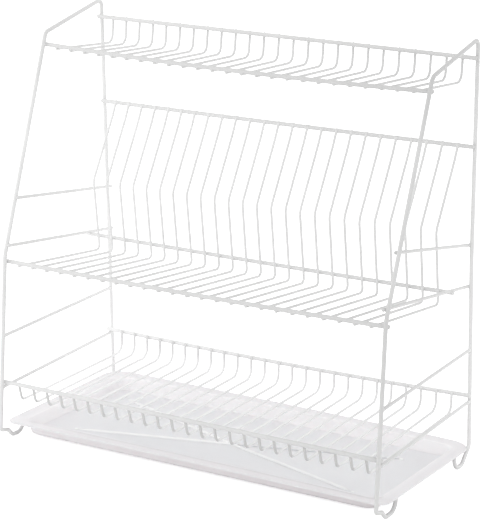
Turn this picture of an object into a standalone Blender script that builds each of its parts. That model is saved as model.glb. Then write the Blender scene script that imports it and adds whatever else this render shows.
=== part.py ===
"""Three-tier wire dish drying rack with a lift-off drip tray.

Metres, +Z up. X runs along the rack, the rack's front faces -Y, and the origin is on the
table under the middle of the rack's box. Every wire follows a path in a side view (y, z) or runs
straight along X, and each path is worked out from the rails and legs that it is welded to.
"""
import math

import bmesh
import bpy
from mathutils import Vector

# Wires
FRAME_WIRE_DIAMETER = 0.005
RAIL_WIRE_DIAMETER = 0.005
BAR_WIRE_DIAMETER = 0.004
GRID_WIRE_DIAMETER = 0.003
WELD_CLEARANCE = 0.0003
WELD_SINK = 0.0004

# Side frames
FRAME_SPACING = 0.490
FOOT_SPREAD = 0.239
KNEE_HEIGHT = 0.224
KNEE_SETBACK = 0.007
CROWN_HEIGHT = 0.498
CROWN_INSET = 0.031
SHOULDER_DROP = 0.026
SHOULDER_SETBACK = 0.0915
KNEE_RADIUS = 0.025
SHOULDER_RADIUS = 0.013
CROWN_RADIUS = 0.009

# Feet, as distances back from the front leg and forward from the rear leg
FRONT_STEP_HEIGHT = 0.0145
FRONT_STEP_DROP = 0.0025
FRONT_STEP_LENGTH = 0.0135
FRONT_LOOP_START = 0.0210
FRONT_LOOP_END = 0.0400
FRONT_LOOP_RISE = 0.0075
FRONT_TIP_SETBACK = 0.0480
REAR_BEND_HEIGHT = 0.0220
REAR_LOOP_START = 0.0210
REAR_LOOP_END = 0.0370
REAR_LOOP_RISE = 0.0095
REAR_TIP_INSET = 0.0415
TIP_HEIGHT = 0.0185
FOOT_RADIUS = 0.0055
STEP_RADIUS = 0.0035

# Rails; the upper three hang from the crown and are given as drops below it
TOP_REAR_RAIL_DROP = 0.0215
TOP_FRONT_RAIL_DROP = 0.0435
PLATE_BACK_RAIL_DROP = 0.1225
PLATE_FRONT_RAIL_HEIGHT = 0.2155
BASKET_REAR_RAIL_HEIGHT = 0.0810
BASKET_FRONT_RAIL_HEIGHT = 0.0700

# Side bars, heights at the front leg and at the rear leg
UPPER_BAR_FRONT_HEIGHT = 0.2900
UPPER_BAR_REAR_HEIGHT = 0.2655
PLATE_BAR_FRONT_HEIGHT = 0.2365
PLATE_BAR_REAR_HEIGHT = 0.2135
BRACE_BAR_FRONT_HEIGHT = 0.1280
BRACE_BAR_REAR_HEIGHT = 0.1365
BAR_OVERHANG = 0.0035
BUTT_CLEARANCE = 0.0005
SUPPORT_RAIL_INSET = 0.0605
SUPPORT_RAIL_OVERHANG = 0.0040

# Wires of the three tiers
WIRE_PITCH = 0.01885
TIER_END_GAP = 0.012
PLATE_KNEE_INSET = 0.0730
PLATE_KNEE_SHARE = 0.493
PLATE_HEEL_HEIGHT = 0.1990
PLATE_KNEE_RADIUS = 0.016
PLATE_HEEL_RADIUS = 0.008
SHELF_HEEL_DROP = 0.0275
SHELF_HEEL_SETBACK = 0.0012
SHELF_HEEL_RADIUS = 0.013
BASKET_HEEL_HEIGHT = 0.0545
BASKET_HEEL_INSET = 0.0030
BASKET_HEEL_RADIUS = 0.014
BASKET_TOE_HEIGHT = 0.0515
BASKET_TOE_SETBACK = 0.0105
BASKET_TOE_RADIUS = 0.005

# Drip tray
TRAY_THICKNESS = 0.0015
TRAY_SEAT_CLEARANCE = 0.0003
FLANGE_OVERHANG = 0.0030
FLANGE_WIDTH = 0.0170
FLANGE_FRONT_SETBACK = 0.0135
FLANGE_REAR_OVERHANG = 0.0073
FLANGE_FRONT_RADIUS = 0.018
FLANGE_REAR_RADIUS = 0.030
BASIN_DEPTH = 0.0140
BASIN_WALL_RUN = 0.0040
BASIN_CORNER_RADIUS = 0.014
FLOOR_BORDER_X = 0.040
FLOOR_BORDER_FRONT = 0.031
FLOOR_BORDER_REAR = 0.036
FLOOR_CROWN_RISE = 0.0035
CROWN_CORNER_SHARE = 0.25

# Facets of the round forms
ARC_STEP = math.radians(30)
FRAME_RESOLUTION = 2
GRID_RESOLUTION = 1
CORNER_SEGMENTS = 6
MERGE_DISTANCE_SHARE = 0.001
WIRE_TIP_SHARE = 0.5
FRAME_FACET_TILT = math.pi / (2 * (FRAME_RESOLUTION + 2))

WIRE_COLOUR = (0.86, 0.87, 0.87, 1.0)
TRAY_COLOUR = (0.80, 0.79, 0.82, 1.0)

FRAME_RADIUS = FRAME_WIRE_DIAMETER / 2
RAIL_RADIUS = RAIL_WIRE_DIAMETER / 2
BAR_RADIUS = BAR_WIRE_DIAMETER / 2
GRID_RADIUS = GRID_WIRE_DIAMETER / 2
HALF_SPACING = FRAME_SPACING / 2
LEG_TO_RAIL = FRAME_RADIUS + RAIL_RADIUS + WELD_CLEARANCE
LEG_TO_BAR = FRAME_RADIUS + BAR_RADIUS + WELD_CLEARANCE
BAR_TO_RAIL = BAR_RADIUS + RAIL_RADIUS + WELD_CLEARANCE
RAIL_TO_WIRE = RAIL_RADIUS + GRID_RADIUS + WELD_CLEARANCE
RAIL_TO_FUSED_WIRE = RAIL_RADIUS + GRID_RADIUS - WELD_SINK

TOP_REAR_RAIL_HEIGHT = CROWN_HEIGHT - TOP_REAR_RAIL_DROP
TOP_FRONT_RAIL_HEIGHT = CROWN_HEIGHT - TOP_FRONT_RAIL_DROP
PLATE_BACK_RAIL_HEIGHT = CROWN_HEIGHT - PLATE_BACK_RAIL_DROP
PLATE_KNEE_HEIGHT = PLATE_HEEL_HEIGHT + (PLATE_BACK_RAIL_HEIGHT - PLATE_HEEL_HEIGHT) * PLATE_KNEE_SHARE
WIRES_PER_TIER = int((FRAME_SPACING - 2 * TIER_END_GAP) / WIRE_PITCH) + 1

# The box runs from the front legs to the tray's rear flange, and its middle is at y = 0
LEG_FRONT_REACH = FRAME_RADIUS * math.cos(FRAME_FACET_TILT)
FEET_MIDDLE_Y = (LEG_FRONT_REACH - FLANGE_REAR_OVERHANG) / 2
FRONT_FOOT_Y = FEET_MIDDLE_Y - FOOT_SPREAD / 2
REAR_FOOT_Y = FEET_MIDDLE_Y + FOOT_SPREAD / 2
KNEE = (FRONT_FOOT_Y + KNEE_SETBACK, KNEE_HEIGHT)
SHOULDER = (FRONT_FOOT_Y + SHOULDER_SETBACK, CROWN_HEIGHT - SHOULDER_DROP)
CROWN = (REAR_FOOT_Y - CROWN_INSET, CROWN_HEIGHT)
FRONT_LEG = [(FRONT_FOOT_Y, FRONT_STEP_HEIGHT), KNEE, SHOULDER]
REAR_LEG = [(REAR_FOOT_Y, REAR_BEND_HEIGHT), CROWN]


def clear_scene():
    """Start from an empty scene."""
    for obj in list(bpy.data.objects):
        bpy.data.objects.remove(obj, do_unlink=True)


def material(name, colour, roughness):
    """A plain Principled material."""
    mat = bpy.data.materials.new(name)
    mat.use_nodes = True
    shader = mat.node_tree.nodes["Principled BSDF"]
    shader.inputs["Base Color"].default_value = colour
    shader.inputs["Roughness"].default_value = roughness
    shader.inputs["Metallic"].default_value = 0.0
    return mat


def add_object(name, data, mat=None):
    """Link an object to the scene."""
    obj = bpy.data.objects.new(name, data)
    bpy.context.scene.collection.objects.link(obj)
    if mat is not None:
        obj.data.materials.append(mat)
    return obj


def rounded_path(corners):
    """Points of a bent wire from (y, z, bend radius) corners; the ends have radius zero."""
    path = [Vector(corners[0][:2])]
    for before, corner, after in zip(corners, corners[1:], corners[2:]):
        here = Vector(corner[:2])
        arriving = (here - Vector(before[:2])).normalized()
        leaving = (Vector(after[:2]) - here).normalized()
        turn = arriving.angle_signed(leaving)
        setback = corner[2] * math.tan(abs(turn) / 2)
        start = here - arriving * setback
        side = Vector((-arriving.y, arriving.x)) * (-1 if turn > 0 else 1)
        centre = start + side * corner[2]
        steps = max(1, math.ceil(abs(turn) / ARC_STEP))
        for step in range(steps + 1):
            angle = -turn * step / steps
            spoke = -side * corner[2]
            path.append(centre + Vector((spoke.x * math.cos(angle) - spoke.y * math.sin(angle),
                                         spoke.x * math.sin(angle) + spoke.y * math.cos(angle))))
    path.append(Vector(corners[-1][:2]))
    return path


def tangent(start, centre, distance, side):
    """Unit direction of the line from start that passes centre at a distance.

    Side +1 leaves the centre on the line's right, -1 on its left.
    """
    towards = Vector(centre) - Vector(start)
    swing = side * math.asin(distance / towards.length)
    direction = towards.normalized()
    return Vector((direction.x * math.cos(swing) - direction.y * math.sin(swing),
                   direction.x * math.sin(swing) + direction.y * math.cos(swing)))


def reach_height(start, direction, height):
    """Point where a line from start comes to a height."""
    return Vector(start) + direction * ((height - start[1]) / direction.y)


def reach_depth(start, direction, depth):
    """Point where a line from start comes to a depth."""
    return Vector(start) + direction * ((depth - start[0]) / direction.x)


def leg_depth(leg, height):
    """Depth of a leg's centre line at a height."""
    for low, high in zip(leg, leg[1:]):
        if height <= high[1] or high == leg[-1]:
            return low[0] + (high[0] - low[0]) * (height - low[1]) / (high[1] - low[1])
    return leg[-1][0]


def leg_lean(leg, height):
    """Angle of a leg from the vertical at a height."""
    for low, high in zip(leg, leg[1:]):
        if height <= high[1] or high == leg[-1]:
            return math.atan2(high[0] - low[0], high[1] - low[1])
    return 0.0


def rail_seat(leg, height, side):
    """Centre (y, z) of a rail that lies against a leg, behind it (+1) or before it (-1)."""
    return leg_depth(leg, height) + side * LEG_TO_RAIL / math.cos(leg_lean(leg, height)), height


def tube(name, points, diameter, resolution, mat=None, tilt=0.0):
    """A round wire through 3D points, with closed ends."""
    curve = bpy.data.curves.new(name, "CURVE")
    curve.dimensions = "3D"
    curve.bevel_depth = diameter / 2
    curve.bevel_resolution = resolution
    curve.use_fill_caps = True
    spline = curve.splines.new("POLY")
    spline.points.add(len(points) - 1)
    for node, point in zip(spline.points, points):
        node.co = (*point, 1.0)
        node.tilt = tilt
    return add_object(name, curve, mat)


def side_tube(name, x, path, diameter, resolution, mat=None, tilt=0.0):
    """A wire bent in the side view, standing at one x."""
    return tube(name, [(x, point[0], point[1]) for point in path], diameter, resolution, mat, tilt)


def cross_tube(name, seat, half_length, mat):
    """A straight rail along X through a (y, z) seat."""
    ends = [(-half_length, *seat), (half_length, *seat)]
    return tube(name, ends, RAIL_WIRE_DIAMETER, FRAME_RESOLUTION, mat)


TOP_REAR_RAIL = rail_seat(REAR_LEG, TOP_REAR_RAIL_HEIGHT, -1)
TOP_FRONT_RAIL = rail_seat(FRONT_LEG, TOP_FRONT_RAIL_HEIGHT, 1)
PLATE_BACK_RAIL = rail_seat(REAR_LEG, PLATE_BACK_RAIL_HEIGHT, -1)
PLATE_FRONT_RAIL = rail_seat(FRONT_LEG, PLATE_FRONT_RAIL_HEIGHT, 1)
BASKET_REAR_RAIL = rail_seat(REAR_LEG, BASKET_REAR_RAIL_HEIGHT, -1)
BASKET_FRONT_RAIL = rail_seat(FRONT_LEG, BASKET_FRONT_RAIL_HEIGHT, 1)
RAIL_HALF_LENGTH = HALF_SPACING + FRAME_RADIUS


def bar_ends(front_height, rear_height):
    """Both ends (y, z) of a side bar that crosses the legs at two heights."""
    front = Vector((leg_depth(FRONT_LEG, front_height), front_height))
    rear = Vector((leg_depth(REAR_LEG, rear_height), rear_height))
    along = (rear - front).normalized() * BAR_OVERHANG
    return front - along, rear + along


def butt_ends(front, rear):
    """Both ends (y, z) of a side bar on the line through two points, stopping short of each leg."""
    front, rear = Vector(front), Vector(rear)
    along = (rear - front).normalized()
    gap = FRAME_RADIUS + BUTT_CLEARANCE
    front_face = leg_depth(FRONT_LEG, front.y) + gap / math.cos(leg_lean(FRONT_LEG, front.y))
    rear_face = leg_depth(REAR_LEG, rear.y) - gap / math.cos(leg_lean(REAR_LEG, rear.y))
    return reach_depth(front, along, front_face), reach_depth(front, along, rear_face)


def under_rail(rail):
    """Point (y, z) of a side bar that lies right under a rail."""
    return rail[0], rail[1] - BAR_TO_RAIL


def support_rail_seat():
    """Centre (y, z) of the rail that hangs under the two plate bars."""
    front, rear = bar_ends(PLATE_BAR_FRONT_HEIGHT, PLATE_BAR_REAR_HEIGHT)
    along = (rear - front).normalized()
    on_bar = reach_depth(front, along, REAR_FOOT_Y - SUPPORT_RAIL_INSET)
    return tuple(on_bar + Vector((along.y, -along.x)) * BAR_TO_RAIL)


SUPPORT_RAIL = support_rail_seat()


def side_frame_path():
    """One wire: front foot, front leg, shoulder, handle, crown, rear leg and rear foot.

    The wire's facets lie flat on the table under each foot.
    """
    floor = FRAME_RADIUS * math.cos(FRAME_FACET_TILT)
    return rounded_path([
        (FRONT_FOOT_Y + FRONT_TIP_SETBACK, TIP_HEIGHT, 0),
        (FRONT_FOOT_Y + FRONT_TIP_SETBACK, floor + FRONT_LOOP_RISE, FOOT_RADIUS),
        (FRONT_FOOT_Y + FRONT_LOOP_END, floor, FOOT_RADIUS),
        (FRONT_FOOT_Y + FRONT_LOOP_START, floor, FOOT_RADIUS),
        (FRONT_FOOT_Y + FRONT_STEP_LENGTH, FRONT_STEP_HEIGHT - FRONT_STEP_DROP, STEP_RADIUS),
        (FRONT_FOOT_Y, FRONT_STEP_HEIGHT, STEP_RADIUS),
        (*KNEE, KNEE_RADIUS),
        (*SHOULDER, SHOULDER_RADIUS),
        (*CROWN, CROWN_RADIUS),
        (REAR_FOOT_Y, REAR_BEND_HEIGHT, FOOT_RADIUS),
        (REAR_FOOT_Y - REAR_LOOP_START, floor, FOOT_RADIUS),
        (REAR_FOOT_Y - REAR_LOOP_END, floor, FOOT_RADIUS),
        (REAR_FOOT_Y - REAR_TIP_INSET, floor + REAR_LOOP_RISE, STEP_RADIUS),
        (REAR_FOOT_Y - REAR_TIP_INSET, TIP_HEIGHT, 0),
    ])


def plate_wire_path():
    """Plate wire: back rail, knee, heel at the support rail, floor and front rail."""
    knee = (REAR_FOOT_Y - PLATE_KNEE_INSET, PLATE_KNEE_HEIGHT)
    up = tangent(knee, PLATE_BACK_RAIL, RAIL_TO_WIRE, 1)
    down = tangent(knee, SUPPORT_RAIL, RAIL_TO_WIRE, -1)
    heel = reach_height(knee, down, PLATE_HEEL_HEIGHT)
    forward = tangent(heel, PLATE_FRONT_RAIL, RAIL_TO_WIRE, 1)
    return rounded_path([
        (*reach_height(knee, up, PLATE_BACK_RAIL[1] + RAIL_RADIUS), 0),
        (*knee, PLATE_KNEE_RADIUS),
        (*heel, PLATE_HEEL_RADIUS),
        (*reach_depth(heel, forward, PLATE_FRONT_RAIL[0] - RAIL_RADIUS), 0),
    ])


def shelf_wire_path():
    """Top shelf wire: up behind the rear rail, and forward under the front rail."""
    heel = (TOP_REAR_RAIL[0] + SHELF_HEEL_SETBACK, TOP_REAR_RAIL[1] - SHELF_HEEL_DROP)
    up = tangent(heel, TOP_REAR_RAIL, RAIL_TO_WIRE, -1)
    forward = tangent(heel, TOP_FRONT_RAIL, RAIL_TO_FUSED_WIRE, 1)
    return rounded_path([
        (*reach_height(heel, up, TOP_REAR_RAIL[1] + RAIL_RADIUS * WIRE_TIP_SHARE), 0),
        (*heel, SHELF_HEEL_RADIUS),
        (*reach_depth(heel, forward, TOP_FRONT_RAIL[0] - RAIL_RADIUS), 0),
    ])


def basket_wire_path():
    """Basket wire: before the rear rail, floor, and hooked up behind the front rail."""
    heel = (BASKET_REAR_RAIL[0] - BASKET_HEEL_INSET, BASKET_HEEL_HEIGHT)
    toe = (BASKET_FRONT_RAIL[0] + BASKET_TOE_SETBACK, BASKET_TOE_HEIGHT)
    up_rear = tangent(heel, BASKET_REAR_RAIL, RAIL_TO_WIRE, 1)
    up_front = tangent(toe, BASKET_FRONT_RAIL, RAIL_TO_FUSED_WIRE, -1)
    return rounded_path([
        (*reach_height(heel, up_rear, BASKET_REAR_RAIL[1] + RAIL_RADIUS), 0),
        (*heel, BASKET_HEEL_RADIUS),
        (*toe, BASKET_TOE_RADIUS),
        (*reach_height(toe, up_front, BASKET_FRONT_RAIL[1] + RAIL_RADIUS * WIRE_TIP_SHARE), 0),
    ])


def wire_places():
    """The x of each wire of a tier."""
    first = -WIRE_PITCH * (WIRES_PER_TIER - 1) / 2
    return [first + WIRE_PITCH * index for index in range(WIRES_PER_TIER)]


def mesh_of(curve_object, shifts):
    """Closed mesh with one copy of a curve's tube at each x shift; the curve is used up."""
    depsgraph = bpy.context.evaluated_depsgraph_get()
    single = bpy.data.meshes.new_from_object(curve_object.evaluated_get(depsgraph))
    bpy.data.objects.remove(curve_object, do_unlink=True)
    solid = bmesh.new()
    for shift in shifts:
        start = len(solid.verts)
        solid.from_mesh(single)
        solid.verts.ensure_lookup_table()
        bmesh.ops.translate(solid, verts=solid.verts[start:], vec=(shift, 0, 0))
    bmesh.ops.remove_doubles(solid, verts=solid.verts, dist=GRID_RADIUS * MERGE_DISTANCE_SHARE)
    bmesh.ops.recalc_face_normals(solid, faces=solid.faces)
    mesh = bpy.data.meshes.new(single.name + "_solid")
    solid.to_mesh(mesh)
    solid.free()
    return mesh


def welded_grid(name, rail_seat_point, path, mat):
    """A rail with the tier's wires welded to it as one piece."""
    rail = mesh_of(cross_tube(name + "_rail", rail_seat_point, RAIL_HALF_LENGTH, mat), [0])
    single = side_tube(name + "_wire", 0, path, GRID_WIRE_DIAMETER, GRID_RESOLUTION, mat)
    cutter = add_object(name + "_wires", mesh_of(single, wire_places()))
    cutter.hide_render = True
    cutter.display_type = "WIRE"
    grid = add_object(name, rail, mat)
    union = grid.modifiers.new("weld", "BOOLEAN")
    union.operation = "UNION"
    union.solver = "EXACT"
    union.object = cutter
    return grid


def add_side(label, side, mat):
    """One bent side frame and its four bars: two inside the legs and two between them."""
    x = side * HALF_SPACING
    side_tube(f"{label}_side_frame", x, side_frame_path(), FRAME_WIRE_DIAMETER, FRAME_RESOLUTION, mat,
              FRAME_FACET_TILT)
    inside = x - side * LEG_TO_BAR
    brace_front = (leg_depth(FRONT_LEG, BRACE_BAR_FRONT_HEIGHT), BRACE_BAR_FRONT_HEIGHT)
    brace_rear = (leg_depth(REAR_LEG, BRACE_BAR_REAR_HEIGHT), BRACE_BAR_REAR_HEIGHT)
    bars = {
        "upper_bar": (inside, bar_ends(UPPER_BAR_FRONT_HEIGHT, UPPER_BAR_REAR_HEIGHT)),
        "plate_bar": (inside, bar_ends(PLATE_BAR_FRONT_HEIGHT, PLATE_BAR_REAR_HEIGHT)),
        "brace_bar": (x, butt_ends(brace_front, brace_rear)),
        "basket_bar": (x, butt_ends(under_rail(BASKET_FRONT_RAIL), under_rail(BASKET_REAR_RAIL))),
    }
    for name, (place, ends) in bars.items():
        side_tube(f"{label}_{name}", place, ends, BAR_WIRE_DIAMETER, FRAME_RESOLUTION, mat)


def add_rails(mat):
    """The straight rails that tie the two sides together."""
    cross_tube("top_rear_rail", TOP_REAR_RAIL, RAIL_HALF_LENGTH, mat)
    cross_tube("plate_back_rail", PLATE_BACK_RAIL, RAIL_HALF_LENGTH, mat)
    cross_tube("plate_support_rail", SUPPORT_RAIL, HALF_SPACING - LEG_TO_BAR + SUPPORT_RAIL_OVERHANG, mat)
    cross_tube("plate_front_rail", PLATE_FRONT_RAIL, RAIL_HALF_LENGTH, mat)
    cross_tube("basket_rear_rail", BASKET_REAR_RAIL, RAIL_HALF_LENGTH, mat)


def add_plate_wires(mat):
    """The plate tier's wires, each its own piece."""
    first = side_tube("plate_wire_01", 0, plate_wire_path(), GRID_WIRE_DIAMETER, GRID_RESOLUTION, mat)
    for index, x in enumerate(wire_places()):
        wire = first if index == 0 else add_object(f"plate_wire_{index + 1:02d}", first.data)
        wire.location.x = x


def ring(half_width, front, rear, height, front_radius, rear_radius):
    """Closed level rounded rectangle of points, anticlockwise from its front right corner."""
    corners = [(half_width - front_radius, front + front_radius, front_radius, -math.pi / 2),
               (half_width - rear_radius, rear - rear_radius, rear_radius, 0),
               (rear_radius - half_width, rear - rear_radius, rear_radius, math.pi / 2),
               (front_radius - half_width, front + front_radius, front_radius, math.pi)]
    points = []
    for x, y, radius, start in corners:
        for step in range(CORNER_SEGMENTS + 1):
            angle = start + math.pi / 2 * step / CORNER_SEGMENTS
            points.append(Vector((x + radius * math.cos(angle), y + radius * math.sin(angle), height)))
    return points


def add_tray(mat):
    """Shallow tray: a flange all round that lies on the feet's tips, and a floor raised to a low crown.

    The flange's rear corners are cut wide, so that they pass before the rear legs.
    """
    flange_top = TIP_HEIGHT + TRAY_SEAT_CLEARANCE + TRAY_THICKNESS
    floor_top = flange_top - BASIN_DEPTH
    flange_half = HALF_SPACING + FLANGE_OVERHANG
    flange_front = FRONT_FOOT_Y + FLANGE_FRONT_SETBACK
    flange_rear = REAR_FOOT_Y + FLANGE_REAR_OVERHANG
    rim_half = flange_half - FLANGE_WIDTH
    rim_front = flange_front + FLANGE_WIDTH
    rim_rear = flange_rear - FLANGE_WIDTH
    floor_half = rim_half - BASIN_WALL_RUN
    floor_front = rim_front + BASIN_WALL_RUN
    floor_rear = rim_rear - BASIN_WALL_RUN
    crown_radius = BASIN_CORNER_RADIUS * CROWN_CORNER_SHARE
    rings = [
        ring(flange_half, flange_front, flange_rear, flange_top, FLANGE_FRONT_RADIUS, FLANGE_REAR_RADIUS),
        ring(rim_half, rim_front, rim_rear, flange_top, BASIN_CORNER_RADIUS, BASIN_CORNER_RADIUS),
        ring(floor_half, floor_front, floor_rear, floor_top, BASIN_CORNER_RADIUS, BASIN_CORNER_RADIUS),
        ring(floor_half - FLOOR_BORDER_X, floor_front + FLOOR_BORDER_FRONT, floor_rear - FLOOR_BORDER_REAR,
             floor_top, crown_radius, crown_radius),
    ]
    shell = bmesh.new()
    loops = [[shell.verts.new(point) for point in points] for points in rings]
    for outer_loop, inner_loop in zip(loops, loops[1:]):
        for index in range(len(outer_loop)):
            after = (index + 1) % len(outer_loop)
            shell.faces.new((outer_loop[index], outer_loop[after], inner_loop[after], inner_loop[index]))
    depths = [point.y for point in rings[-1]]
    apex = shell.verts.new((0, (min(depths) + max(depths)) / 2, floor_top + FLOOR_CROWN_RISE))
    for vert, after in zip(loops[-1], loops[-1][1:] + loops[-1][:1]):
        shell.faces.new((vert, after, apex))
    mesh = bpy.data.meshes.new("drip_tray")
    shell.to_mesh(mesh)
    shell.free()
    tray = add_object("drip_tray", mesh, mat)
    wall = tray.modifiers.new("wall", "SOLIDIFY")
    wall.thickness = TRAY_THICKNESS
    wall.offset = -1
    return tray


def build():
    """Model the whole rack."""
    clear_scene()
    wire = material("coated_wire", WIRE_COLOUR, 0.35)
    plastic = material("tray_plastic", TRAY_COLOUR, 0.4)
    add_side("left", -1, wire)
    add_side("right", 1, wire)
    add_rails(wire)
    add_plate_wires(wire)
    welded_grid("top_shelf_grid", TOP_FRONT_RAIL, shelf_wire_path(), wire)
    welded_grid("basket_grid", BASKET_FRONT_RAIL, basket_wire_path(), wire)
    add_tray(plastic)


build()
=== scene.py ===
"""Looks of a three-tier wire dish rack with a frosted drip tray.

Every wire is a swept tube whose coating swells into a fillet where it meets another wire.
The tray is a thin moulded shell with rounded walls, a ribbed four-facet floor and a slight warp.
Lengths are in metres unless a comment says millimetres. The rack's front faces -Y.
"""
import math

import bpy
import numpy as np
from mathutils import Matrix, Vector, kdtree

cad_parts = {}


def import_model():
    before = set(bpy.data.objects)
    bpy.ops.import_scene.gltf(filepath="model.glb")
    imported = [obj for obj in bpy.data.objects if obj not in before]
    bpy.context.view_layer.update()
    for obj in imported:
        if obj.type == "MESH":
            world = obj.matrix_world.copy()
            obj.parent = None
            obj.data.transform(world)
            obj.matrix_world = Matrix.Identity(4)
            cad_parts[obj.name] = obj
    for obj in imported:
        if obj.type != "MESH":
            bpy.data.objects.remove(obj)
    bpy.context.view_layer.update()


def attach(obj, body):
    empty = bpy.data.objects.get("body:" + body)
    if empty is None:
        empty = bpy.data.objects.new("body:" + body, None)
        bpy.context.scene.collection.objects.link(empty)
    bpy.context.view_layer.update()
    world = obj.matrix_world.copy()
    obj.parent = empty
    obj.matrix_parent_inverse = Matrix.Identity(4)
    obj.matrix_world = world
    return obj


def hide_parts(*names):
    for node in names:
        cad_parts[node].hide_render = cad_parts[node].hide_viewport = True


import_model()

MM = 0.001

# Wires
FRAME_RADIUS = 2.5 * MM
RAIL_RADIUS = 2.5 * MM
BAR_RADIUS = 2.0 * MM
GRID_RADIUS = 1.56 * MM
THICK_FROM = 1.8 * MM
THICK_SIDES = 16
THIN_SIDES = 12
FILLET_REACH = 2.2 * MM
CAP_SHARE = 0.7
CAP_ANGLES = (12, 35, 58, 78)
MOST_TRIMMED = 0.9
COARSE_STEP = 6.0 * MM
FINE_STEP = 0.8 * MM
ARC_STEP = math.radians(9)
STRAIGHT = 1e-4
MOST_ALONG_X = 0.9
RAIL_POINTS = 40
WIRES_PER_TIER = 25
WIRE_PITCH = 18.85

# Rails in millimetres: y, z at the left end, z at the right end, x of both ends, rise of both ends
RAILS = {
    "top_rear_rail": (82.09, 477.3, 476.9, -248.2, 248.4, 0.0),
    "top_front_rail": (-30.86, 454.35, 452.55, -247.6, 247.7, 3.8),
    "plate_back_rail": (88.67, 373.1, 375.9, -245.9, 247.3, 0.9),
    "plate_support_rail": (55.99, 214.45, 215.85, -243.8, 243.3, 0.9),
    "plate_front_rail": (-109.98, 214.5, 216.4, -246.3, 245.6, 1.7),
    "basket_rear_rail": (107.85, 78.7, 80.7, -247.6, 246.8, 3.0),
    "basket_front_rail": (-114.84, 71.3, 70.6, -247.2, 245.6, 0.4),
}
RAIL_SPAN = 245.0
# Heights of the straight rails that the tiers' wires were laid out on, in millimetres
DESIGNED_HEIGHTS = {
    "top_rear_rail": 476.5,
    "top_front_rail": 454.5,
    "plate_back_rail": 375.5,
    "plate_support_rail": 213.86,
    "plate_front_rail": 215.5,
    "basket_rear_rail": 81.0,
    "basket_front_rail": 70.0,
}
# Pieces that hold a rail together with its tier's wires
RAIL_PIECES = {"top_front_rail": "top_shelf_grid_wires", "basket_front_rail": "basket_grid_wires"}

# Side frames in millimetres: x at the corners of the bent wire, left and right
FRAME_X = {
    "foot_front": (-245.2, 244.7),
    "knee": (-243.4, 244.0),
    "shoulder": (-245.9, 246.3),
    "crown": (-246.2, 245.2),
    "rear_middle": (-244.8, 242.9),
    "foot_rear": (-243.9, 244.9),
    "tip_front": (-243.8, 243.8),
    "tip_rear": (-243.4, 243.6),
}
FRONT_FOOT, REAR_FOOT = -122.0, 117.0
# How far inside its leg each foot's loop ends, and each shoulder's bend, left and right
FRONT_LOOPS = (43.5, 49.5)
REAR_LOOP = 37.0
SHOULDER_BENDS = (8, 11)
ON_TABLE = 2.5

# Side bars in millimetres: x, then y and z of the front end and of the rear end
SIDE_BARS = {
    "left_upper_bar": (-239.6, (-96.0, 288.9), (101.0, 266.6)),
    "left_plate_bar": (-239.6, (-114.0, 235.9), (104.5, 213.2)),
    "right_upper_bar": (239.4, (-90.0, 293.2), (101.0, 261.7)),
    "right_plate_bar": (239.4, (-114.0, 236.6), (104.5, 212.9)),
    "left_brace_bar": (-244.0, (-115.7, 128.1), (107.1, 135.2)),
    "left_basket_bar": (-244.9, (-117.7, 65.97), (110.9, 76.37)),
    "right_brace_bar": (244.4, (-115.7, 128.2), (107.1, 138.5)),
    "right_basket_bar": (245.3, (-117.7, 66.07), (110.9, 75.93)),
}

# How the hand-bent wires of the tiers differ, in millimetres, as the x of some wires and their values:
# sideways shift of the rear ends, heels, hooks and toes, and height of the heels and toes
PLATE_SHIFT = ((-226, -170, -113, 113, 226), (1.5, 0.9, -0.3, -0.4, 0.3))
PLATE_HEEL = ((-226, -150, 0, 113, 226), (1.4, 1.0, 0.6, 0.9, 0.4))
PLATE_HEEL_DROP = ((-226, -60), (-1.3, 0.0))
PLATE_TOE = ((-226, -113, 0, 100, 226), (0.0, 0.0, -1.5, -2.0, -1.2))
TOP_SHIFT = ((-226, -150, -20, 40, 130, 170, 226), (-2.6, -3.3, -3.1, -1.6, -0.7, 0.7, 1.5))
TOP_HEEL = ((-226, -170, -60, 226), (446.4, 446.8, 447.8, 447.8))
TOP_TOE = ((-226, 40, 113, 226), (-3.0, -2.8, -1.3, -0.9))
TOP_TOE_LIFT = ((0, 226), (0.0, 1.3))
BASKET_SHIFT = ((-226, -170, -132, -113, -75, 0, 75, 150, 188, 226),
                (2.6, 1.9, 0.6, 0, -0.6, -0.7, -1.2, -1.4, -1.4, -0.4))
BASKET_HEEL = ((-226, -170, -132, 0, 38, 94, 132, 170, 207, 226),
               (56.9, 56.7, 54.6, 55.3, 55.6, 57.4, 57.3, 58.2, 60.3, 60.6))
HOOK_SHIFT = ((-226, -207, -113, 0, 226), (0.3, 1.2, 0.7, 0.0, -0.5))
HOOK_HEIGHT, HOOK_SLOPE = 50.5, -0.4 / 226

# Tray in millimetres: the flange's outer edge, its inner rim, the floor and the low crown on the floor
TRAY_THICKNESS = 1.4
FLANGE_HALF, FLANGE_FRONT, FLANGE_REAR = FLANGE = (248.0, -108.5, 124.3)
RIM_HALF, RIM_FRONT, RIM_REAR = RIM = (231.0, -92.0, 107.3)
FLOOR_HALF, FLOOR_FRONT, FLOOR_REAR = FLOOR = (227.5, -90.6, 103.8)
BASE_CORNERS = ((-186.5, -51.2), (183.6, -56.9), (182.5, 68.3), (-191.4, 73.7))
APEX = (-1.5, -4.5)
CROWN_RISE = 3.5
FLOOR_LEVEL = 5.9
FLOOR_TWIST_SHARE = 0.3
MEAN_LEVEL = 20.3
WIRE_CLEARANCE = 0.05
# The flange's real heights along its front and rear edges, as (x, height)
FRONT_LEVELS = ((-248, 20.6), (-168, 21.1), (-72, 21.4), (20, 20.9), (148, 19.8), (248, 18.8))
REAR_LEVELS = ((-248, 25.0), (-218, 24.8), (-64, 24.5), (115, 23.0), (230, 20.6), (248, 20.2))
FRONT_CURVE = np.polyfit(*np.array(FRONT_LEVELS).T, 3)
REAR_CURVE = np.polyfit(*np.array(REAR_LEVELS).T, 3)


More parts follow.
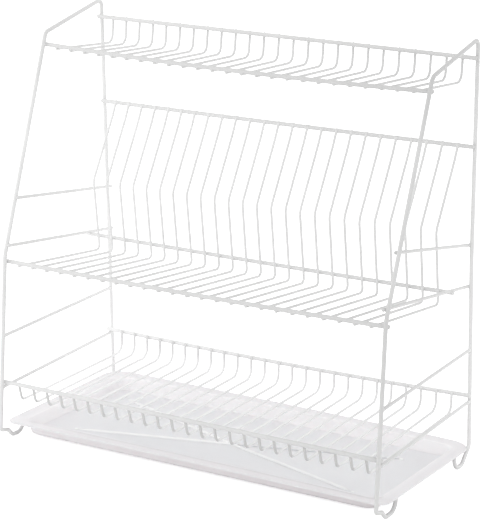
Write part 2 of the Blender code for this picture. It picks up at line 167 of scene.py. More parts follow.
def mm(*values):
    """A point given in millimetres."""
    return np.array(values, float) * MM


def ramp(values, start, end):
    """0 to 1 as values run from start to end."""
    return np.clip((values - start) / (end - start), 0, 1)


def at(knots, x):
    """Value at an x between knots."""
    return float(np.interp(x, *knots))


def flange_level(x, y):
    """Height of the flange's upper side: the moulded tray is a little twisted."""
    back = (y - FLANGE_FRONT) / (FLANGE_REAR - FLANGE_FRONT)
    return np.polyval(FRONT_CURVE, x) * (1 - back) + np.polyval(REAR_CURVE, x) * back


def floor_level(x, y):
    """Height of the floor round its crown; it follows part of the flange's twist."""
    return FLOOR_LEVEL + FLOOR_TWIST_SHARE * (flange_level(x, y) - MEAN_LEVEL)


def under_flange(x, y):
    """Height at which a wire's tip carries the flange."""
    return flange_level(x, y) - TRAY_THICKNESS - WIRE_CLEARANCE


def rail_height(name, x):
    """Height of a rail's centre at an x, both in millimetres."""
    _, left, right, _, _, bow = RAILS[name]
    return left + (right - left) * (x + RAIL_SPAN) / (2 * RAIL_SPAN) + bow * (x / RAIL_SPAN) ** 2


def lifted(name, x):
    """How far a rail lies above its designed height at an x, in millimetres."""
    return rail_height(name, x) - DESIGNED_HEIGHTS[name]


def bent(corners):
    """Points of a wire bent at (point, radius) corners."""
    points = [np.array(corners[0][0], float)]
    for before, corner, after in zip(corners, corners[1:], corners[2:]):
        here = np.array(corner[0], float)
        arriving = here - np.array(before[0], float)
        leaving = np.array(after[0], float) - here
        arriving /= np.linalg.norm(arriving)
        leaving /= np.linalg.norm(leaving)
        turn = math.acos(max(-1.0, min(1.0, float(arriving @ leaving))))
        if turn < STRAIGHT or corner[1] <= 0:
            points.append(here)
            continue
        setback = corner[1] * math.tan(turn / 2)
        start = here - arriving * setback
        inward = leaving - arriving * float(arriving @ leaving)
        inward /= np.linalg.norm(inward)
        centre = start + inward * corner[1]
        steps = max(2, math.ceil(turn / ARC_STEP))
        for step in range(steps + 1):
            angle = turn * step / steps
            points.append(centre + corner[1] * (arriving * math.sin(angle) - inward * math.cos(angle)))
    points.append(np.array(corners[-1][0], float))
    return np.array(points)


def stepped(points, step):
    """The same path with points no further apart than a step."""
    out = [points[0]]
    for a, b in zip(points, points[1:]):
        count = max(1, math.ceil(np.linalg.norm(b - a) / step))
        out += [a + (b - a) * i / count for i in range(1, count + 1)]
    return np.array(out)


class Wire:
    """One wire: its path, its radius and the piece that it belongs to."""

    def __init__(self, piece, points, radius):
        self.piece = piece
        self.points = stepped(np.array(points, float), COARSE_STEP)
        self.radius = radius


wires = []


def add_wire(piece, points, radius):
    """Add a wire to the rack."""
    wires.append(Wire(piece, points, radius))


def side_frames():
    """The two bent side frames, with their feet, whose tips end right under the tray's flange."""
    for index, label in enumerate(("left", "right")):
        x = {place: values[index] for place, values in FRAME_X.items()}
        front_tip, rear_tip = FRONT_FOOT + FRONT_LOOPS[index], REAR_FOOT - REAR_LOOP
        path = (
            ("tip_front", front_tip, under_flange(x["tip_front"], front_tip), 0),
            ("tip_front", front_tip, ON_TABLE, 12.5),
            ("foot_front", FRONT_FOOT + 23.0, ON_TABLE, 8),
            ("foot_front", FRONT_FOOT + 14.5, 10.8, 3.5),
            ("foot_front", FRONT_FOOT, 14.5, 3.5),
            ("knee", FRONT_FOOT + 7.0, 224.0, 25),
            ("shoulder", FRONT_FOOT + 91.5, 472.0, SHOULDER_BENDS[index]),
            ("crown", REAR_FOOT - 31.0, 497.8, 7),
            ("rear_middle", REAR_FOOT - 14.9, 250.0, 900),
            ("foot_rear", REAR_FOOT, 20.5, 8),
            ("foot_rear", REAR_FOOT - 18.5, ON_TABLE, 10),
            ("foot_rear", REAR_FOOT - 35.0, ON_TABLE, 9),
            ("tip_rear", rear_tip, 13.0, 8),
            ("tip_rear", rear_tip, under_flange(x["tip_rear"], rear_tip), 0),
        )
        corners = [(mm(x[place], y, z), radius * MM) for place, y, z, radius in path]
        add_wire(f"{label}_side_frame_wire", bent(corners), FRAME_RADIUS)


def side_bars():
    """The four bars of each side."""
    for name, (x, front, rear) in SIDE_BARS.items():
        add_wire(name + "_wire", [mm(x, *front), mm(x, *rear)], BAR_RADIUS)


def rails():
    """The rails between the two sides, a little bowed."""
    for name, (y, _, _, x0, x1, _) in RAILS.items():
        points = [mm(x, y, rail_height(name, x)) for x in np.linspace(x0, x1, RAIL_POINTS)]
        add_wire(RAIL_PIECES.get(name, name + "_wire"), points, RAIL_RADIUS)


def plate_wire(x):
    """Corners of the plate tier's wire at an x: rear tip, slant, knee, heel and toe."""
    back, heel = lifted("plate_back_rail", x), lifted("plate_support_rail", x)
    away = at(PLATE_SHIFT, x)
    return [
        (mm(x + away, 87.4, 376.6 + back), 0),
        (mm(x + away, 79.4, 359.0 + back), 30 * MM),
        (mm(x + away, 39.6, 286.5 + (back + heel) / 2), 16 * MM),
        (mm(x + away / 2 + at(PLATE_HEEL, x), 53.16, 198.7 + at(PLATE_HEEL_DROP, x) + heel), 5.5 * MM),
        (mm(x + at(PLATE_TOE, x), -112.6, 212.9 + lifted("plate_front_rail", x)), 0),
    ]


def shelf_wire(x):
    """Corners of the top shelf's wire at an x: rear tip, heel and toe."""
    rear, front = lifted("top_rear_rail", x), lifted("top_front_rail", x)
    away = at(TOP_SHIFT, x)
    return [
        (mm(x + away, 86.5, 478.4 + rear), 0),
        (mm(x + away, 84.3, at(TOP_HEEL, x) + rear), 9.5 * MM),
        (mm(x + at(TOP_TOE, x), -33.0, 451.4 + at(TOP_TOE_LIFT, x) + front), 0),
    ]


def basket_wire(x):
    """Corners of the basket's wire at an x: rear tip, heel, hook and front tip."""
    away, hook = at(BASKET_SHIFT, x), x + at(HOOK_SHIFT, x)
    return [
        (mm(x + away, 103.5, 83.9 + lifted("basket_rear_rail", x)), 0),
        (mm(x + away, 104.85, at(BASKET_HEEL, x)), 11.5 * MM),
        (mm(hook, -106.3, HOOK_HEIGHT + HOOK_SLOPE * x), 7 * MM),
        (mm(hook, -112.2, 68.5 + lifted("basket_front_rail", x)), 0),
    ]


def tiers():
    """The 25 wires of each tier."""
    for index in range(WIRES_PER_TIER):
        x = (index - (WIRES_PER_TIER - 1) / 2) * WIRE_PITCH
        add_wire(f"plate_wire_{index + 1:02d}_wire", bent(plate_wire(x)), GRID_RADIUS)
        add_wire("top_shelf_grid_wires", bent(shelf_wire(x)), GRID_RADIUS)
        add_wire("basket_grid_wires", bent(basket_wire(x)), GRID_RADIUS)


side_frames()
side_bars()
rails()
tiers()

segments, segment_wire = [], []
for wire in wires:
    for a, b in zip(wire.points, wire.points[1:]):
        segments.append((a, b))
        segment_wire.append(wire)
tree = kdtree.KDTree(len(segments))
for index, (a, b) in enumerate(segments):
    tree.insert(Vector((a + b) / 2), index)
tree.balance()
segments = np.array(segments)
segment_radius = np.array([wire.radius for wire in segment_wire])
MIDDLE_REACH = COARSE_STEP / 2 + 2 * FRAME_RADIUS + FILLET_REACH
FAR_AWAY = 1.0
BATCH = 2000


def refined(wire):
    """The wire's points, closer together where another wire is near, and the segments near it."""
    out, found = [wire.points[0]], set()
    for a, b in zip(wire.points, wire.points[1:]):
        middle, half = (a + b) / 2, np.linalg.norm(b - a) / 2
        near = [index for _, index, _ in tree.find_range(Vector(middle), half + MIDDLE_REACH)
                if segment_wire[index] is not wire]
        found.update(near)
        count = max(1, math.ceil(2 * half / (FINE_STEP if near else COARSE_STEP)))
        out += [a + (b - a) * i / count for i in range(1, count + 1)]
    return np.array(out), sorted(found)


def surface_gap(points, indices):
    """Distance from each point to the surface of the nearest of some segments' wires."""
    best = np.full(len(points), FAR_AWAY)
    if not indices:
        return best
    a, b = segments[indices, 0], segments[indices, 1]
    along = b - a
    square = (along ** 2).sum(1)
    for start in range(0, len(points), BATCH):
        offset = points[start:start + BATCH, None, :] - a[None]
        share = np.clip((offset * along[None]).sum(2) / square, 0, 1)
        away = np.linalg.norm(offset - share[..., None] * along[None], axis=2) - segment_radius[indices]
        best[start:start + BATCH] = away.min(1)
    return best


def swept(wire):
    """Vertices and faces of a wire's tube with round ends and fillets at its welds."""
    points, near = refined(wire)
    cap = wire.radius * CAP_SHARE
    for tip, inner in ((0, 1), (-1, -2)):
        inward = points[inner] - points[tip]
        points[tip] += inward * min(MOST_TRIMMED, cap / np.linalg.norm(inward))
    sides = THICK_SIDES if wire.radius > THICK_FROM else THIN_SIDES
    tangents = np.gradient(points, axis=0)
    tangents /= np.linalg.norm(tangents, axis=1)[:, None]
    first, last = tangents[0], tangents[-1]
    angles = [math.radians(angle) for angle in CAP_ANGLES]
    # Stations are a ring's centre, its tangent, its share of the radius and its normal's lean
    stations = [(points[0] - first * cap * math.sin(angle), first, math.cos(angle), -math.sin(angle))
                for angle in reversed(angles)]
    stations += [(point, tangent, 1.0, 0.0) for point, tangent in zip(points, tangents)]
    stations += [(points[-1] + last * cap * math.sin(angle), last, math.cos(angle), math.sin(angle))
                 for angle in angles]
    up = np.array([1.0, 0, 0]) if abs(first[0]) < MOST_ALONG_X else np.array([0, 0, 1.0])
    turns = np.arange(sides) * 2 * math.pi / sides
    rings, normals = [], []
    for centre, tangent, width, lean in stations:
        up = up - tangent * float(up @ tangent)
        up /= np.linalg.norm(up)
        side = np.cross(tangent, up)
        spokes = np.outer(np.cos(turns), up) + np.outer(np.sin(turns), side)
        rings.append(centre + spokes * wire.radius * width)
        normals.append(spokes * width + tangent * lean)
    verts = np.concatenate(rings + [np.array([points[0] - first * cap, points[-1] + last * cap])])
    normal = np.concatenate(normals + [np.array([-first, last])])
    gap = np.abs(surface_gap(verts, near))
    swell = np.where(gap < FILLET_REACH, (FILLET_REACH - gap) ** 2 / (4 * FILLET_REACH), 0.0)
    verts = verts + normal * swell[:, None]
    faces = tube_faces(0, len(rings), sides)
    end, tail = (len(rings) - 1) * sides, len(verts) - 2
    for i in range(sides):
        j = (i + 1) % sides
        faces.append((tail, j, i))
        faces.append((tail + 1, end + i, end + j))
    return verts, faces


def tube_faces(start, rings, around):
    """Faces between closed rings of vertices that follow each other from a start."""
    faces = []
    for ring in range(rings - 1):
        low = start + ring * around
        for i in range(around):
            j = (i + 1) % around
            faces.append((low + i, low + j, low + around + j, low + around + i))
    return faces


def mesh_object(name, verts, faces, smooth=True):
    """A mesh object from arrays."""
    mesh = bpy.data.meshes.new(name)
    mesh.from_pydata([tuple(v) for v in verts], [], faces)
    mesh.polygons.foreach_set("use_smooth", [smooth] * len(mesh.polygons))
    mesh.update()
    obj = bpy.data.objects.new(name, mesh)
    bpy.context.scene.collection.objects.link(obj)
    return obj


def give_values(obj, name, values):
    """Give a mesh object's points a named value that its material reads."""
    obj.data.attributes.new(name, "FLOAT", "POINT").data.foreach_set("value", values)


def feed(tree, socket, value):
    """Set an input to a value or to another node's output."""
    if isinstance(value, bpy.types.NodeSocket):
        tree.links.new(value, socket)
    else:
        socket.default_value = value


def node(tree, kind, inputs=None, **options):
    """A new shader node with its options set and its inputs fed."""
    made = tree.nodes.new(kind)
    for name, value in options.items():
        setattr(made, name, value)
    for name, value in (inputs or {}).items():
        feed(tree, made.inputs[name], value)
    return made


def noise(tree, place, scale, detail):
    """Noise over the object's own coordinates."""
    inputs = {"Vector": place, "Scale": scale, "Detail": detail}
    return node(tree, "ShaderNodeTexNoise", inputs).outputs["Fac"]


def attribute(tree, name):
    """A value that the mesh's points carry."""
    return node(tree, "ShaderNodeAttribute", attribute_name=name).outputs["Fac"]


def mapped(tree, value, to, source=(0.0, 1.0)):
    """A value brought from one range to another."""
    inputs = {"Value": value, "From Min": source[0], "From Max": source[1], "To Min": to[0], "To Max": to[1]}
    return node(tree, "ShaderNodeMapRange", inputs).outputs["Result"]


def math_result(tree, operation, first, second):
    """Result of an operation on two numbers."""
    return node(tree, "ShaderNodeMath", {0: first, 1: second}, operation=operation).outputs["Value"]


def scaled(tree, colour, factor):
    """A colour times a factor."""
    made = node(tree, "ShaderNodeVectorMath", {0: colour, "Scale": factor}, operation="SCALE")
    return made.outputs["Vector"]


def colour_ramp(tree, value, stops):
    """Colour at a value between (position, colour) stops."""
    made = node(tree, "ShaderNodeValToRGB", {"Fac": value})
    elements = made.color_ramp.elements
    for element, (position, colour) in zip(elements, (stops[0], stops[-1])):
        element.position, element.color = position, colour
    for position, colour in stops[1:-1]:
        elements.new(position).color = colour
    return made.outputs["Color"]


def bumped(tree, height, strength, distance):
    """Normal of a fine relief."""
    inputs = {"Height": height, "Strength": strength, "Distance": distance}
    return node(tree, "ShaderNodeBump", inputs).outputs["Normal"]


def surface(name, build):
    """A material whose shader's inputs come from a build function."""
    mat = bpy.data.materials.new(name)
    mat.use_nodes = True
    tree = mat.node_tree
    shader = tree.nodes["Principled BSDF"]
    place = node(tree, "ShaderNodeTexCoord").outputs["Object"]
    for socket, value in build(tree, place).items():
        feed(tree, shader.inputs[socket], value)
    return mat


# Coating: colours at two values of the cloud, (scale, detail) of noises and (strength, distance) of bump
COATING_TINTS = ((0.3, (0.70, 0.70, 0.698, 1)), (0.7, (0.745, 0.745, 0.743, 1)))
COATING_CLOUD, COATING_PEEL = (34, 3), (900, 2)
COATING_BUMP = (0.12, 0.0002)
COATING_ROUGHNESS = (0.42, 0.56)


def wire_coating(tree, place):
    """White dip coating on steel: satin under a glossy skin, with a faint orange peel."""
    cloud = noise(tree, place, *COATING_CLOUD)
    return {
        # Painted light and shade: each vertex's factor makes the coating paler where more light falls and
        # darker where shade falls
        "Base Color": scaled(tree, colour_ramp(tree, cloud, COATING_TINTS), attribute(tree, "painted_light")),
        "Roughness": mapped(tree, cloud, COATING_ROUGHNESS),
        "Normal": bumped(tree, noise(tree, place, *COATING_PEEL), *COATING_BUMP),
        "Coat Weight": 0.2,
        "Coat Roughness": 0.25,
    }


# Painted light and shade on the coating: its middle, and its drift per metre, painted paler towards the left,
# the rear and the foot
PAINTED_LIGHT_MIDDLE = (0.0, 0.0, 0.25)
PAINTED_LIGHT_DRIFT = (-0.32, 0.85, -0.28)
# Further painted light and shade as (part of the piece's name, amount, where it sets in as (axis, start,
# end)): painted shade darkens the crowns, the back rail and the basket's hooks and left uprights; painted
# light makes the handles, the basket floor and its front half paler
ON_BASKET_FLOOR, BEHIND_HOOKS = ("z", 0.064, 0.058), ("y", -0.106, -0.100)
PAINTED_LIGHT_PATCHES = (
    ("", -0.06, (("z", 0.43, 0.47),)),
    ("plate_back_rail", -0.08, ()),
    ("side_frame", 0.06, (("z", 0.22, 0.26), ("z", 0.43, 0.40), ("y", 0.03, 0.0))),
    ("basket_grid", 0.06, (ON_BASKET_FLOOR, BEHIND_HOOKS)),
    ("basket_grid", 0.16, (ON_BASKET_FLOOR, BEHIND_HOOKS, ("y", 0.05, -0.03))),
    ("basket_grid", -0.12, (("z", 0.0685, 0.0675), ("y", -0.103, -0.107))),
    ("basket_grid", -0.12, (("z", 0.062, 0.072), ("x", 0.05, -0.1), ("y", 0.09, 0.1))),
)


def painted_wire_light(piece, verts):
    """Painted light and shade of each vertex of a wire, as a factor on its colour, 1 for the middle of the
    rack.
    """
    painted_lights = 1 + (verts - PAINTED_LIGHT_MIDDLE) @ PAINTED_LIGHT_DRIFT
    for word, painted_light, places in PAINTED_LIGHT_PATCHES:
        if word in piece:
            shares = [ramp(verts[:, "xyz".index(axis)], start, end) for axis, start, end in places]
            painted_lights += painted_light * np.prod([np.ones(len(verts))] + shares, axis=0)
    return painted_lights


coating = surface("white_wire_coating", wire_coating)
made = {}
for wire in wires:
    made.setdefault(wire.piece, []).append(wire)
STANDS_FOR = {"top_shelf_grid_wires": "top_shelf_grid", "basket_grid_wires": "basket_grid"}
for piece, members in made.items():
    verts, faces, start = [], [], 0
    for wire in members:
        wire_verts, wire_faces = swept(wire)
        verts.append(wire_verts)
        faces += [tuple(i + start for i in face) for face in wire_faces]
        start += len(wire_verts)
    verts = np.concatenate(verts)
    obj = mesh_object(piece, verts, faces)
    give_values(obj, "painted_light", painted_wire_light(piece, verts))
    obj.data.materials.append(coating)
    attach(obj, "rack")
    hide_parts(STANDS_FOR.get(piece, piece[:-len("_wire")]))

# Tray's mesh, in millimetres. Distances from a corner's middle at which every ring has its first vertices
NEAR_CORNER = (1.4, 3.0, 5.0, 7.5, 10.5, 14.0, 17.5, 21.0, 25.0, 31.0, 40.0)
MOST_NEAR = 0.42
EDGE_STEP = 8.0
CORNER_ARC = 12
SIDE_COUNTS = [round((2 * FLANGE_HALF - 2 * NEAR_CORNER[-1]) / EDGE_STEP),
               round((FLANGE_REAR - FLANGE_FRONT - 2 * NEAR_CORNER[-1]) / EDGE_STEP)] * 2
RING_SIZE = sum(SIDE_COUNTS) + 8 * len(NEAR_CORNER)
FLANGE_RADII = (15.0, 26.0)
RIM_RADII = (14.0, 14.0)
SHARP_CORNERS = (0.001, 0.001)
FLANGE_DIP = 0.7
# Flange rings from the lip up and inwards: (inset, drop)
LIP = ((0.0, 1.4), (0.0, 0.8), (0.2, 0.25), (0.6, 0.03), (1.4, 0.0), (4.0, 0.0), (9.0, 0.0))
# Wall rings from the rim to the floor: (share of the wall's run, share of its depth, kind of surface)
ON_FLOOR, ON_FLANGE, ON_WALL = 0.0, 0.5, 1.0
WALL = ((-0.6, 0.0, ON_FLANGE), (-0.2, 0.012, ON_WALL), (0.06, 0.06, ON_WALL), (0.26, 0.18, ON_WALL),
        (0.46, 0.42, ON_WALL), (0.62, 0.66, ON_WALL), (0.78, 0.85, ON_WALL), (1.02, 0.95, ON_WALL),
        (1.4, 0.99, ON_FLOOR), (2.1, 1.0, ON_FLOOR))
# Floor rings as shares of the way to the crown's base, and crown rings as shares of the base's size
FLOOR_SHARES = (0.3, 0.55, 0.78, 0.93, 1.0)
CROWN_SHARES = (0.985, 0.96, 0.9, 0.8, 0.68, 0.56, 0.44, 0.32, 0.2, 0.1)
# The left side's skew and the depths between which it grows
SKEW = 2.2
SKEW_GROWS = (20, -90)
# A rib's half width, rise, steps, section, start as a share of its length, and taper at that end
RIB_HALF, RIB_RISE, RIB_STEPS = 2.5, 1.5, 40
RIB_ACROSS = ((-1.0, -0.3), (-0.8, 0.5), (-0.35, 0.95), (0.35, 0.95), (0.8, 0.5), (1.0, -0.3))
RIB_START, RIB_TIP, RIB_WIDENS = 0.985, 0.25, 12
NUB_RADIUS, NUB_RISE, NUB_SUNK = 2.6, 1.2, 0.3
NUB_TILTS, NUB_SIDES = (0, 25, 50, 72), 16
SHARP_ANGLE = math.radians(50)
# Painted highlight and shade of the plastic: from 0 to 1 glossier and painted paler as a highlight, from 0 to
# -1 painted darker as shade
RIB_PAINTED_HIGHLIGHTS = (1.0, 0.7, 0.15, 0.9)
NUB_PAINTED_HIGHLIGHT = 1.0
# Painted shade along the front at some x, and the value elsewhere, and the depths between which the front's
# sets in
PAINTED_SHADE_PLACES = (-240, -190, 0, 240)
FLANGE_PAINTED_SHADE = ((0.0, -0.26, -0.34, -0.42), -0.2)
WALL_PAINTED_SHADE = ((-0.1, -0.38, -0.62, -0.85), 0.0)
FLOOR_PAINTED_SHADE = ((0.0, 0.0, 0.0, 0.0), 0.0)
FRONT_BAND = (-80, -88)


def ring_points(outline, radii):
    """Ring of (x, y) with matching vertices in every ring, the first at the front left corner."""
    half, front, rear = outline
    corners = ((-half, front, radii[0], 180), (half, front, radii[0], 270),
               (half, rear, radii[1], 0), (-half, rear, radii[1], 90))
    arcs = []
    for x, y, radius, start in corners:
        centre = np.array((x - math.copysign(radius, x), y + (radius if y == front else -radius)))
        angles = np.radians(start + np.linspace(0, 90, 2 * CORNER_ARC + 1))
        arcs.append(centre + radius * np.column_stack((np.cos(angles), np.sin(angles))))
    out = []
    for k, count in enumerate(SIDE_COUNTS):
        path = np.concatenate((arcs[k][CORNER_ARC:], arcs[(k + 1) % 4][:CORNER_ARC + 1]))
        reach = np.concatenate(([0], np.cumsum(np.linalg.norm(np.diff(path, axis=0), axis=1))))
        squeeze = min(1.0, MOST_NEAR * reach[-1] / NEAR_CORNER[-1])
        near = [0.0] + [d * squeeze for d in NEAR_CORNER]
        far = [reach[-1] - d for d in reversed(near[1:])]
        middle = [near[-1] + (far[0] - near[-1]) * i / count for i in range(1, count)]
        places = near + middle + far
        out += list(zip(np.interp(places, reach, path[:, 0]), np.interp(places, reach, path[:, 1])))
    return out


def between(outer, inner, share):
    """Numbers at a share of the way from some to others."""
    return [a + (b - a) * share for a, b in zip(outer, inner)]


def base_ring():
    """The crown's base as a ring that matches the others."""
    ring = np.array(ring_points(FLOOR, SHARP_CORNERS))
    u = (ring[:, 0] + FLOOR_HALF) / (2 * FLOOR_HALF)
    v = (ring[:, 1] - FLOOR_FRONT) / (FLOOR_REAR - FLOOR_FRONT)
    corners = np.array(BASE_CORNERS)
    return (np.outer((1 - u) * (1 - v), corners[0]) + np.outer(u * (1 - v), corners[1])
            + np.outer(u * v, corners[2]) + np.outer((1 - u) * v, corners[3]))


def ring_painted_highlight_shade(ring, along_front, elsewhere):
    """Painted highlight and shade of each vertex of a ring, with its own painted shade along the front."""
    x, y, _ = np.array(ring).T
    return elsewhere + (np.interp(x, PAINTED_SHADE_PLACES, along_front) - elsewhere) * ramp(y, *FRONT_BAND)


def tray_rings():
    """Rings of the tray's upper side, from the lip to the crown, and each vertex's kind and painted highlight
    and shade.
    """
    rings, kinds, painted_highlight_shades = [], [], []

    def add_ring(points, kind, painted_highlight_shade):
        rings.append(points)
        kinds.extend([kind] * RING_SIZE)
        painted_highlight_shades.extend(ring_painted_highlight_shade(points, *painted_highlight_shade))

    for inset, drop in LIP:
        share = inset / (FLANGE_HALF - RIM_HALF)
        outline, radii = between(FLANGE, RIM, share), between(FLANGE_RADII, RIM_RADII, share)
        add_ring([(x, y, flange_level(x, y) - drop - FLANGE_DIP * share)
                  for x, y in ring_points(outline, radii)], ON_FLANGE, FLANGE_PAINTED_SHADE)
    for run, depth, kind in WALL:
        ring = []
        for x, y in ring_points(between(RIM, FLOOR, run), RIM_RADII):
            top = flange_level(x, y) - FLANGE_DIP
            ring.append((x, y, top + (floor_level(x, y) - top) * depth))
        add_ring(ring, kind, WALL_PAINTED_SHADE)
    edge, base, apex = np.array(rings[-1])[:, :2], base_ring(), np.array(APEX)
    for share in FLOOR_SHARES:
        add_ring([(x, y, floor_level(x, y)) for x, y in edge + (base - edge) * share], ON_FLOOR, FLOOR_PAINTED_SHADE)
    for share in CROWN_SHARES:
        add_ring([(x, y, floor_level(x, y) + CROWN_RISE * (1 - share))
                  for x, y in apex + (base - apex) * share], ON_FLOOR, FLOOR_PAINTED_SHADE)
    return rings, kinds, painted_highlight_shades


def nub(verts, faces, x, y, z):
    """Add a small moulded dome to the tray's lists."""
    start = len(verts)
    for tilt in map(math.radians, NUB_TILTS):
        for turn in range(NUB_SIDES):
            angle = 2 * math.pi * turn / NUB_SIDES
            reach = NUB_RADIUS * math.cos(tilt)
            verts.append((x + reach * math.cos(angle), y + reach * math.sin(angle),
                          z - NUB_SUNK + (NUB_RISE + NUB_SUNK) * math.sin(tilt)))
    verts.append((x, y, z + NUB_RISE))
    faces += tube_faces(start, len(NUB_TILTS), NUB_SIDES)
    last = start + (len(NUB_TILTS) - 1) * NUB_SIDES
    for i in range(NUB_SIDES):
        faces.append((last + i, last + (i + 1) % NUB_SIDES, len(verts) - 1))


def rib(verts, faces, corner):
    """Add a low moulded rib from a corner of the floor to its crown to the tray's lists."""
    away = np.array(corner) - np.array(APEX)
    side = np.array((-away[1], away[0])) / np.linalg.norm(away)
    start, wide = len(verts), len(RIB_ACROSS)
    for step in range(RIB_STEPS + 1):
        share = RIB_START * (1 - step / RIB_STEPS)
        fullness = min(1.0, RIB_TIP + RIB_WIDENS * (RIB_START - share))
        for across, rise in RIB_ACROSS:
            x, y = np.array(APEX) + away * share + side * across * RIB_HALF * fullness
            verts.append((x, y, floor_level(x, y) + CROWN_RISE * (1 - share) + RIB_RISE * rise * fullness))
    for step in range(RIB_STEPS):
        for i in range(wide - 1):
            a = start + step * wide + i
            faces.append((a, a + 1, a + wide + 1, a + wide))


def tray():
    """The whole tray: rings, ribs, nubs and thickness."""
    rings, kinds, painted_highlight_shades = tray_rings()
    verts = [(x - SKEW * (min(x, 0) / FLANGE_HALF) ** 4 * float(ramp(y, *SKEW_GROWS)), y, z)
             for ring in rings for x, y, z in ring]
    faces = tube_faces(0, len(rings), RING_SIZE)
    apex, last = len(verts), (len(rings) - 1) * RING_SIZE
    verts.append((*APEX, floor_level(*APEX) + CROWN_RISE))
    painted_highlight_shades.append(0.0)
    for i in range(RING_SIZE):
        faces.append((last + i, last + (i + 1) % RING_SIZE, apex))
    # Each rib and nub carries a painted highlight value
    for (x, y), painted_highlight_shade in zip(BASE_CORNERS, RIB_PAINTED_HIGHLIGHTS):
        rib(verts, faces, (x, y))
        painted_highlight_shades += [painted_highlight_shade] * (len(verts) - len(painted_highlight_shades))
        nub(verts, faces, x, y, floor_level(x, y))
        painted_highlight_shades += [NUB_PAINTED_HIGHLIGHT] * (len(verts) - len(painted_highlight_shades))
    kinds += [ON_FLOOR] * (len(verts) - len(kinds))
    moulded = mesh_object("drip_tray_mould", np.array(verts) * MM, faces)
    give_values(moulded, "wall", kinds)
    give_values(moulded, "painted_highlight_shade", painted_highlight_shades)
    wall = moulded.modifiers.new("wall", "SOLIDIFY")
    wall.thickness = TRAY_THICKNESS * MM
    wall.offset = -1
    depsgraph = bpy.context.evaluated_depsgraph_get()
    solid = bpy.data.meshes.new_from_object(moulded.evaluated_get(depsgraph))
    bpy.data.objects.remove(moulded, do_unlink=True)
    solid.set_sharp_from_angle(angle=SHARP_ANGLE)
    obj = bpy.data.objects.new("drip_tray_shell", solid)
    bpy.context.scene.collection.objects.link(obj)
    return obj


# Plastic: colours of floor, flange and wall, (scale, detail) of noises and (strength, distance) of bump
TRAY_TINTS = ((ON_FLOOR, (0.905, 0.89, 0.92, 1)), (ON_FLANGE, (0.86, 0.84, 0.86, 1)),
              (ON_WALL, (0.96, 0.925, 0.94, 1)))
TRAY_CLOUD, TRAY_GRAIN = (11, 4), (420, 3)
TRAY_BUMP = (0.08, 0.0003)
TRAY_ROUGHNESS = (0.32, 0.42)
# Factors on the colour: of the cloud, and of the painted shade and highlight from -1 to 1, up to the palest
# colour
CLOUD_FACTORS, PAINTED_HIGHLIGHT_SHADE_FACTORS = (0.94, 1.04), (0.7, 1.3)
PALEST = (0.99, 0.99, 0.99)
# Share of light that enters the plastic, none where the painted highlight is full, and the values where its
# glossy skin sets in
ENTERING = (0.7, 0.0)
ENTERS_UNTIL, SKIN_SETS_IN = (0.3, 1.0), (0.2, 0.8)


def tray_plastic(tree, place):
    """Frosted plastic: milky, faintly blue in the floor and warmer in its thicker walls."""
    cloud, painted_highlight_shade = noise(tree, place, *TRAY_CLOUD), attribute(tree, "painted_highlight_shade")
    # The colour is painted paler on the ribs and nubs as a highlight, and painted darker along the front
    # flange and wall as shade
    factor = math_result(tree, "MULTIPLY", mapped(tree, cloud, CLOUD_FACTORS),
                         mapped(tree, painted_highlight_shade, PAINTED_HIGHLIGHT_SHADE_FACTORS, source=(-1.0, 1.0)))
    colour = scaled(tree, colour_ramp(tree, attribute(tree, "wall"), TRAY_TINTS), factor)
    capped = node(tree, "ShaderNodeVectorMath", {0: colour, 1: PALEST}, operation="MINIMUM")
    return {
        "Base Color": capped.outputs["Vector"],
        "Roughness": mapped(tree, cloud, TRAY_ROUGHNESS),
        "Normal": bumped(tree, noise(tree, place, *TRAY_GRAIN), *TRAY_BUMP),
        "Coat Weight": mapped(tree, painted_highlight_shade, (0.0, 1.0), source=SKIN_SETS_IN),
        "Coat Roughness": 0.3,
        "Coat IOR": 1.9,
        "Subsurface Weight": mapped(tree, painted_highlight_shade, ENTERING, source=ENTERS_UNTIL),
        "Subsurface Radius": (1.0, 0.9, 0.9),
        "Subsurface Scale": 0.004,
    }


shell = tray()
plastic = surface("frosted_tray_plastic", tray_plastic)
plastic.node_tree.nodes["Principled BSDF"].subsurface_method = "RANDOM_WALK"
shell.data.materials.append(plastic)
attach(shell, "tray")
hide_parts("drip_tray")

# Floor and world: white where the camera, a reflection or glass shows them, plain where they give light
FLOOR_SIZE = 8.0
FLOOR_COLOUR = (0.92, 0.92, 0.92, 1)
FLOOR_GLOW = 0.70
WHITE = (1, 1, 1, 1)
HORIZON_STRENGTH, ZENITH_STRENGTH = 1.30, 0.84


def seen_white(tree):
    """Share that is 1 for camera, glossy and transmission rays."""
    path = node(tree, "ShaderNodeLightPath")
    share = path.outputs["Is Camera Ray"]
    for ray in ("Is Glossy Ray", "Is Transmission Ray"):
        share = math_result(tree, "MAXIMUM", share, path.outputs[ray])
    return share


def floor():
    """The pale floor, which keeps the rack's shadow."""
    mat = bpy.data.materials.new("floor_white")
    mat.use_nodes = True
    tree = mat.node_tree
    tree.nodes.clear()
    diffuse = node(tree, "ShaderNodeBsdfDiffuse", {"Color": FLOOR_COLOUR}).outputs["BSDF"]
    strength = math_result(tree, "MULTIPLY", seen_white(tree), FLOOR_GLOW)
    glow = node(tree, "ShaderNodeEmission", {"Strength": strength}).outputs["Emission"]
    both = node(tree, "ShaderNodeAddShader", {0: diffuse, 1: glow}).outputs["Shader"]
    node(tree, "ShaderNodeOutputMaterial", {"Surface": both})
    n = FLOOR_SIZE
    obj = mesh_object("floor", [(-n, -n, 0), (n, -n, 0), (n, n, 0), (-n, n, 0)], [(0, 1, 2, 3)], smooth=False)
    obj.data.materials.append(mat)


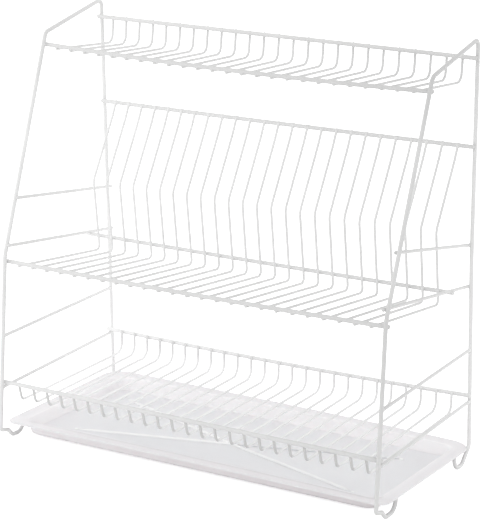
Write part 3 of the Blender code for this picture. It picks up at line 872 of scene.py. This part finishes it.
def world():
    """The room: light from all round, stronger from its horizon than from overhead."""
    studio = bpy.data.worlds.new("studio")
    bpy.context.scene.world = studio
    studio.use_nodes = True
    tree = studio.node_tree
    tree.nodes.clear()
    place = node(tree, "ShaderNodeTexCoord").outputs["Generated"]
    height = node(tree, "ShaderNodeSeparateXYZ", {"Vector": place}).outputs["Z"]
    strength = mapped(tree, height, (HORIZON_STRENGTH, ZENITH_STRENGTH))
    lit = node(tree, "ShaderNodeBackground", {"Color": WHITE, "Strength": strength}).outputs["Background"]
    shown = node(tree, "ShaderNodeBackground", {"Color": WHITE, "Strength": 1.0}).outputs["Background"]
    mix = node(tree, "ShaderNodeMixShader", {0: seen_white(tree), 1: lit, 2: shown}).outputs["Shader"]
    node(tree, "ShaderNodeOutputWorld", {"Surface": mix})


# Soft lamps: place, target, diameter and watts
LAMPS = {
    "key": ((-1.5, -1.0, 2.0), (0, 0, 0.2), 0.5, 2),
    "left": ((-0.95, -0.6, 0.6), (-0.1, 0, 0.1), 0.7, 1.0),
}


def lamps():
    """Two weak lamps that model the wires."""
    for name, (place, target, diameter, watts) in LAMPS.items():
        data = bpy.data.lights.new(name, "AREA")
        data.shape = "DISK"
        data.size = diameter
        data.energy = watts
        lamp = bpy.data.objects.new(name, data)
        lamp.location = place
        lamp.rotation_euler = (Vector(target) - Vector(place)).to_track_quat("-Z", "Y").to_euler()
        bpy.context.scene.collection.objects.link(lamp)


# Camera, fitted to the photograph's rails and legs
IMAGE_WIDTH, IMAGE_HEIGHT = 481, 520
CAMERA_PLACE = Vector((1.20669, -2.12081, 0.86695))
CAMERA_AZIMUTH = math.radians(29.585)
CAMERA_ELEVATION = math.radians(14.046)
CAMERA_ROLL = math.radians(1.336)
FOCAL_PIXELS = 2213.09
CENTRE_PIXEL = (241.128, 237.742)
SENSOR = 36.0
NEAREST, FURTHEST = 0.05, 60


def camera():
    """The camera at the photograph's angle."""
    data = bpy.data.cameras.new("camera")
    data.sensor_width = SENSOR
    data.lens = FOCAL_PIXELS * SENSOR / IMAGE_HEIGHT
    data.shift_x = (IMAGE_WIDTH / 2 - CENTRE_PIXEL[0]) / IMAGE_HEIGHT
    data.shift_y = (CENTRE_PIXEL[1] - IMAGE_HEIGHT / 2) / IMAGE_HEIGHT
    data.clip_start, data.clip_end = NEAREST, FURTHEST
    back = Vector((math.sin(CAMERA_AZIMUTH) * math.cos(CAMERA_ELEVATION),
                   -math.cos(CAMERA_AZIMUTH) * math.cos(CAMERA_ELEVATION), math.sin(CAMERA_ELEVATION)))
    right = Vector((0, 0, 1)).cross(back).normalized()
    up = back.cross(right)
    right, up = (right * math.cos(CAMERA_ROLL) + up * math.sin(CAMERA_ROLL),
                 up * math.cos(CAMERA_ROLL) - right * math.sin(CAMERA_ROLL))
    turn = Matrix((right, up, back)).transposed().to_4x4()
    obj = bpy.data.objects.new("camera", data)
    obj.matrix_world = Matrix.Translation(CAMERA_PLACE) @ turn
    bpy.context.scene.collection.objects.link(obj)
    bpy.context.scene.camera = obj


floor()
world()
lamps()
camera()
bpy.context.scene.view_settings.view_transform = "Standard"
